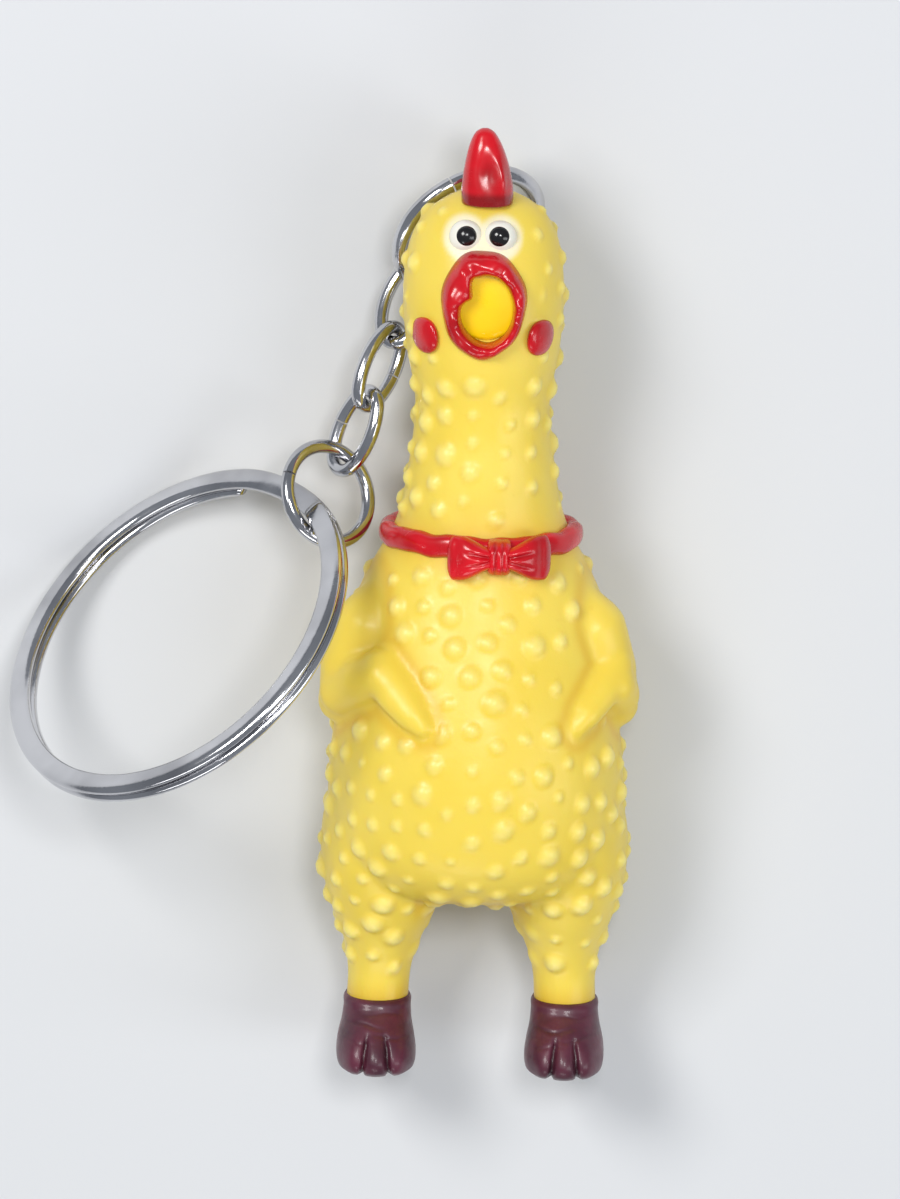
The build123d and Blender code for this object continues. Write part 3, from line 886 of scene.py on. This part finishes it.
# ---- feet ----
# height, centre, half width, heel, toe
FOOT = [
    (0.0, 7.25, 2.55, 5.1, 12.5),
    (0.35, 7.25, 2.92, 4.6, 13.2),
    (1.2, 7.27, 3.08, 4.4, 13.5),
    (2.4, 7.3, 2.98, 4.5, 13.0),
    (3.6, 7.28, 2.72, 4.7, 12.0),
    (4.7, 7.25, 2.6, 4.85, 10.9),
    (5.25, 7.25, 2.62, 4.8, 10.65),
    (5.5, 7.25, 2.5, 4.95, 10.4),
]
FOOT_MIDDLE = 7.28
TOE_GROOVES = ((-0.95, 0.17, 1.0), (0.95, 0.17, 0.9))  # side, width, depth
CREASES = ((4.55, 0.12, 0.5), (3.75, 0.14, 0.8), (3.1, 0.13, 0.55), (2.6, 0.1, 0.3))  # height, width, depth
for side, sign in SIDES:
    rings = []
    for height in steps(FOOT[0][0], FOOT[-1][0], 64):
        centre, half_width, heel, toe = between(FOOT, height)
        rings.append(oval(sign * centre, height, half_width, heel, toe, 128, 2.35))
    foot = mesh_object(f"painted_foot_{side}", *ring_skin(rings))

    def toes(points, sign=sign):
        """How deep the toe grooves and the cross creases are at each point."""
        x, height, z = points.T
        across = (x - sign * FOOT_MIDDLE) * sign
        fore = ease(z, 9.5, 12.0)
        low = 1 - ease(height, 2.2, 3.6)
        grooves = np.zeros(len(x))
        for spot, width, depth in TOE_GROOVES:
            bend = spot + 0.12 * (height - 1.0) * np.sign(-spot)
            grooves += depth * np.exp(-(((across - bend) / width) ** 2))
        grooves *= fore * low
        creases = np.zeros(len(x))
        for level, width, depth in CREASES:
            line = level + 0.12 * np.sin(1.9 * x + level * 3) + 0.05 * across
            fading = 0.55 + 0.45 * np.sin(1.3 * x + 5 * level)
            creases += depth * np.exp(-(((height - line) / width) ** 2)) * fading
        creases *= ease(z, 7.5, 9.8)
        return grooves, creases

    def foot_shape(points, sign=sign):
        x, height, z = points.T
        grooves, creases = toes(points, sign)
        across = (x - sign * FOOT_MIDDLE) * sign
        round_toes = np.cos(across / 0.95 * math.pi) * ease(z, 10.0, 12.5) * (1 - ease(height, 1.8, 3.2))
        z = z - 0.75 * grooves - 0.16 * creases + 0.1155 * round_toes
        height = height + 0.35 * grooves * (1 - ease(height, 0.0, 0.6))
        heel = ease(-z, -6.0, -4.6)
        z = z + 0.1 * heel * np.sin(2.0 * height)
        return np.stack([x, height, z], 1)

    # painted shade in the toe grooves and the cross creases
    def foot_painted_shade(points, sign=sign):
        grooves, creases = toes(points, sign)
        return 0.9 * grooves + 0.6 * np.clip(creases, 0, 1)

    sculpted(foot, foot_shape, foot_painted_shade)
    finish_piece(foot, maroon, "foot_maroon", f"foot_{side}")

# ---- collar and bow ----
def signed_power(value, power):
    return math.copysign(abs(value) ** power, value)


COLLAR_COUNT = 160
COLLAR_SIDES = 12
COLLAR_SEMI = (7.12, 6.28)
COLLAR_DEPTH = 9.6  # z of the collar's middle
section = []
for k in range(COLLAR_SIDES):
    turn = TAU * k / COLLAR_SIDES
    height = 42.5 + 0.92 * signed_power(math.sin(turn), 0.8)
    section.append((height, 0.75 * signed_power(math.cos(turn), 0.7)))
verts = []
for n in range(COLLAR_COUNT):
    turn = TAU * n / COLLAR_COUNT
    for height, out in section:
        wander = 0.06 * math.sin(3 * turn + 1) + 0.04 * math.sin(8 * turn)
        x = (COLLAR_SEMI[0] + out) * math.cos(turn)
        z = COLLAR_DEPTH + (COLLAR_SEMI[1] + out) * math.sin(turn)
        verts.append(at(x, height + wander, z))
collar = subdivided(mesh_object("red_collar", verts, tube_faces(COLLAR_COUNT, COLLAR_SIDES)), 1)


def collar_shape(points):
    x, height, z = points.T
    turn = np.arctan2(z - COLLAR_DEPTH, x)
    ripple = 0.05 * np.sin(11 * turn) + 0.035 * np.sin(19 * turn + 1.2)
    return np.stack([x, height + ripple, z], 1)


# painted shade along the collar's lower edge
sculpted(collar, collar_shape, lambda p: 0.5 * (1 - ease(p[:, 1], 41.5, 42.0)))
finish_piece(collar, red, "red_paint", "collar_band")

BOW = (1.4, 42.0)


def bow_loop(name, sign, reach, tip_z):
    """One pillow of the bow: pinched at the knot, fuller and squared at its end; its pleats are pressed in
    afterwards.
    """
    rings = []
    stations = 26
    for k in range(stations):
        t = k / (stations - 1)
        x = BOW[0] + sign * (0.35 + (reach - 0.35) * t)
        spread = 0.75 + 0.98 * ease(np.array(t), 0.0, 0.75) - 0.85 * max(0.0, (t - 0.86) / 0.14) ** 2.2
        thick = 0.5 + 0.62 * math.sin(math.pi * min(t * 0.93 + 0.07, 1.0)) ** 0.8
        thick -= 0.25 * max(0.0, (t - 0.9) / 0.1) ** 2
        z = 17.1 + (tip_z - 17.1) * t**1.5
        height = BOW[1] - 0.12 * t
        ring = []
        for n in range(40):
            turn = TAU * n / 40
            c, s = math.cos(turn), math.sin(turn)
            bulge = (abs(c) ** 2.5 + abs(s) ** 2.5) ** (-1 / 2.5)
            ring.append(at(x, height + spread * c * bulge, z + thick * s * bulge))
        rings.append(ring)
    return subdivided(mesh_object(name, *ring_skin(rings)), 1)


for side, sign, reach, tip_z in (("left", -1, 3.95, 16.55), ("right", 1, 3.95, 15.45)):
    loop = bow_loop(f"bow_pillow_{side}", sign, reach, tip_z)

    def pleats(points, sign=sign):
        x, height, z = points.T
        run = (x - BOW[0]) * sign
        lean = height - BOW[1]
        lines = np.exp(-(((lean - 0.18 * run) / 0.16) ** 2))
        lines += 0.7 * np.exp(-(((lean + 0.26 * run) / 0.15) ** 2))
        return lines * (1 - ease(run, 1.6, 3.1)) * ease(z, 16.4, 17.0)

    def loop_shape(points, sign=sign):
        x, height, z = points.T
        run = (x - BOW[0]) * sign
        rim = np.exp(-(((run - 3.3) / 0.35) ** 2)) * ease(z, 16.0, 17.0)
        return np.stack([x, height, z - 0.3 * pleats(points, sign) - 0.12 * rim], 1)

    # painted shade in the pleats of the bow loop
    sculpted(loop, loop_shape, lambda p, sign=sign: 0.55 * pleats(p, sign))
    finish_piece(loop, red, "red_paint", f"bow_loop_{side}")

rings = []
for k in range(22):
    height = BOW[1] - 1.32 + 2.64 * k / 21
    share = abs(2 * k / 21 - 1)
    half_width = 1.02 * (1 - 0.3 * share**6) - 0.12 * (1 - share**2)
    near = 18.15 - 0.9 * share**3.5
    rings.append(oval(BOW[0], height, half_width, 15.4, near, 40, 2.8))
knot = subdivided(mesh_object("bow_knot_band", *ring_skin(rings)), 1)


def knot_pleats(points):
    x, height, z = points.T
    return (
        np.exp(-(((x - BOW[0] + 0.32) / 0.13) ** 2)) + 0.8 * np.exp(-(((x - BOW[0] - 0.3) / 0.12) ** 2))
    ) * ease(z, 17.0, 17.6)


# painted shade in the pleats of the knot
sculpted(
    knot,
    lambda p: np.stack([p[:, 0], p[:, 1], p[:, 2] - 0.2 * knot_pleats(p)], 1),
    lambda p: 0.5 * knot_pleats(p),
)
finish_piece(knot, red, "red_paint", "bow_knot")

# ---- the split ring: two turns of flat wire with rounded edges, and the slope between them ----
SPLIT_CENTRE = Vector((-23.017, 34.783 - REST_HEIGHT, 13.292))
SPLIT_AXIS = Vector((0.5350, -0.6730, -0.5107)).normalized()
SPLIT_X = Vector((0.7443, 0.6615, -0.0920))
SPLIT_X = (SPLIT_X - SPLIT_AXIS * SPLIT_X.dot(SPLIT_AXIS)).normalized()
SPLIT_Y = SPLIT_AXIS.cross(SPLIT_X)
SPLIT_RADIUS, SPLIT_LAYER = 14.125, 0.455
WIRE_HALF_WIDE, WIRE_HALF_THICK = 0.87, 0.42
SLOPE_FROM, SLOPE_TO, WIRE_START, WIRE_END = 322.0, 357.0, -1.5, 680.5


def wire_section(count=20):
    section = []
    for k in range(count):
        turn = TAU * (k + 0.5) / count
        c, s = math.cos(turn), math.sin(turn)
        reach = (abs(c) ** 2.6 + abs(s) ** 2.6) ** (-1 / 2.6)
        section.append((WIRE_HALF_WIDE * c * reach, WIRE_HALF_THICK * s * reach))
    return section


rings = []
WIRE_STEPS = 420
for k in range(WIRE_STEPS + 1):
    angle = WIRE_START + (WIRE_END - WIRE_START) * k / WIRE_STEPS
    share = min(max((angle - SLOPE_FROM) / (SLOPE_TO - SLOPE_FROM), 0), 1)
    rise = -SPLIT_LAYER * math.cos(math.pi * share)
    turn = math.radians(angle)
    outward = SPLIT_X * math.cos(turn) + SPLIT_Y * math.sin(turn)
    # the cut ends are a little worn
    taper = 1 - 0.12 * max(0.0, 1 - min(k, WIRE_STEPS - k) / 1.5)
    rings.append(
        [
            (SPLIT_CENTRE + outward * (SPLIT_RADIUS + a * taper) + SPLIT_AXIS * (rise + b * taper)) * MM
            for a, b in wire_section()
        ]
    )
split_wire = mesh_object("split_ring_wire", *ring_skin(rings))
split_wire.data.materials.append(plating)
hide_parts("split_ring")
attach(split_wire, "split_ring")

# ---- the squeaker's cup, open at its back, with a low dome for its face ----
# radius and z, from the inside over the open back to the face
CUP = [
    (2.2, 15.2),
    (2.2, 12.2),
    (2.2, 9.3),
    (2.9, 9.3),
    (2.9, 12.4),
    (2.9, 15.5),
    (2.82, 15.78),
    (2.6, 15.88),
    (1.9, 15.93),
    (0.9, 15.98),
]
CUP_SIDES = 64
rings = []
for radius, z in CUP:
    ring = []
    for k in range(CUP_SIDES):
        turn = TAU * k / CUP_SIDES
        ring.append(at(radius * math.cos(turn), MOUTH[1] + radius * math.sin(turn), z))
    rings.append(ring)
cup = mesh_object("squeaker_drum", *ring_skin(rings))
finish_piece(cup, squeaker_yellow, "squeaker_yellow", "squeaker_cup")

# ---- the rest of the squeaker and the chain keep the shape of their nodes ----
FINISHES = {
    "squeaker_reed_plate": squeaker_yellow,
    "squeaker_cap": squeaker_yellow,
    "squeaker_reed": reed_white,
    "head_ring": plating,
    "chain_link_1": plating,
    "chain_link_2": plating,
    "chain_link_3": plating,
    "connector_ring": plating,
}
for node_name, material in FINISHES.items():
    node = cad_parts[node_name]
    node.data.materials.clear()
    node.data.materials.append(material)

# ---- floor, light and camera ----
floor = mesh_object("floor", [(-2, -2, 0), (2, -2, 0), (2, 2, 0), (-2, 2, 0)], [(0, 1, 2, 3)], False)
floor.data.transform(Matrix.Translation((0, 0, min(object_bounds()[0][2], 0) - 0.00002)))
floor_material, tree, shader = new_material("pale_floor")
tone = ramp_of(tree, noise_of(tree, 3, 2.0), [(0.3, (0.62, 0.63, 0.65)), (0.7, (0.66, 0.67, 0.68))])
tree.links.new(tone, shader.inputs["Base Color"])
shader.inputs["Roughness"].default_value = 0.7
floor.data.materials.append(floor_material)

world = bpy.data.worlds.new("studio")
world.use_nodes = True
backdrop = world.node_tree.nodes["Background"]
backdrop.inputs[0].default_value = (0.84, 0.9, 1.0, 1)
backdrop.inputs[1].default_value = 0.3
bpy.context.scene.world = world
bpy.context.scene.view_settings.view_transform = "Standard"


def softbox(name, place, target, size, power, colour=(1, 1, 1)):
    light = bpy.data.lights.new(name, "AREA")
    light.shape = "RECTANGLE"
    light.size, light.size_y = size
    light.energy = power
    light.color = colour
    obj = bpy.data.objects.new(name, light)
    bpy.context.scene.collection.objects.link(obj)
    place, target = Vector(place), Vector(target)
    facing = (target - place).to_track_quat("-Z", "Y").to_matrix().to_4x4()
    obj.matrix_world = Matrix.Translation(place) @ facing


softbox("key_softbox", (-0.2, 0.2, 0.36), (0, 0.01, 0.005), (0.15, 0.15), 1.1, (1, 0.99, 0.97))
softbox("top_softbox", (0.05, 0.16, 0.5), (0, 0.02, 0.01), (0.1, 0.1), 0.9)
softbox("fill_softbox", (0.3, -0.05, 0.26), (0, 0.01, 0.005), (0.12, 0.3), 0.42, (0.96, 0.98, 1))
softbox("foot_softbox", (-0.05, -0.32, 0.22), (0, 0, 0.005), (0.3, 0.08), 0.3)

TILT = math.radians(12)
ROLL = math.radians(1.2)
AIM = Vector((-0.00227, 0.01281, 0.008))
CAMERA_AWAY = 0.9
FRAME_TALL = 0.0922
away = Vector((0, math.sin(TILT), math.cos(TILT)))
level_up = Vector((0, math.cos(TILT), -math.sin(TILT)))
right = Vector((1, 0, 0)) * math.cos(ROLL) + level_up * math.sin(ROLL)
up = level_up * math.cos(ROLL) - Vector((1, 0, 0)) * math.sin(ROLL)
lens = bpy.data.cameras.new("camera")
lens.sensor_fit = "VERTICAL"
lens.sensor_height = 36
lens.lens = 36 * CAMERA_AWAY / FRAME_TALL
lens.clip_start = 0.01
lens.clip_end = 20
camera = bpy.data.objects.new("camera", lens)
bpy.context.scene.collection.objects.link(camera)
turned = Matrix((right, up, away)).transposed().to_4x4()
camera.matrix_world = Matrix.Translation(AIM + away * CAMERA_AWAY) @ turned
bpy.context.scene.camera = camera

bpy.context.view_layer.update()
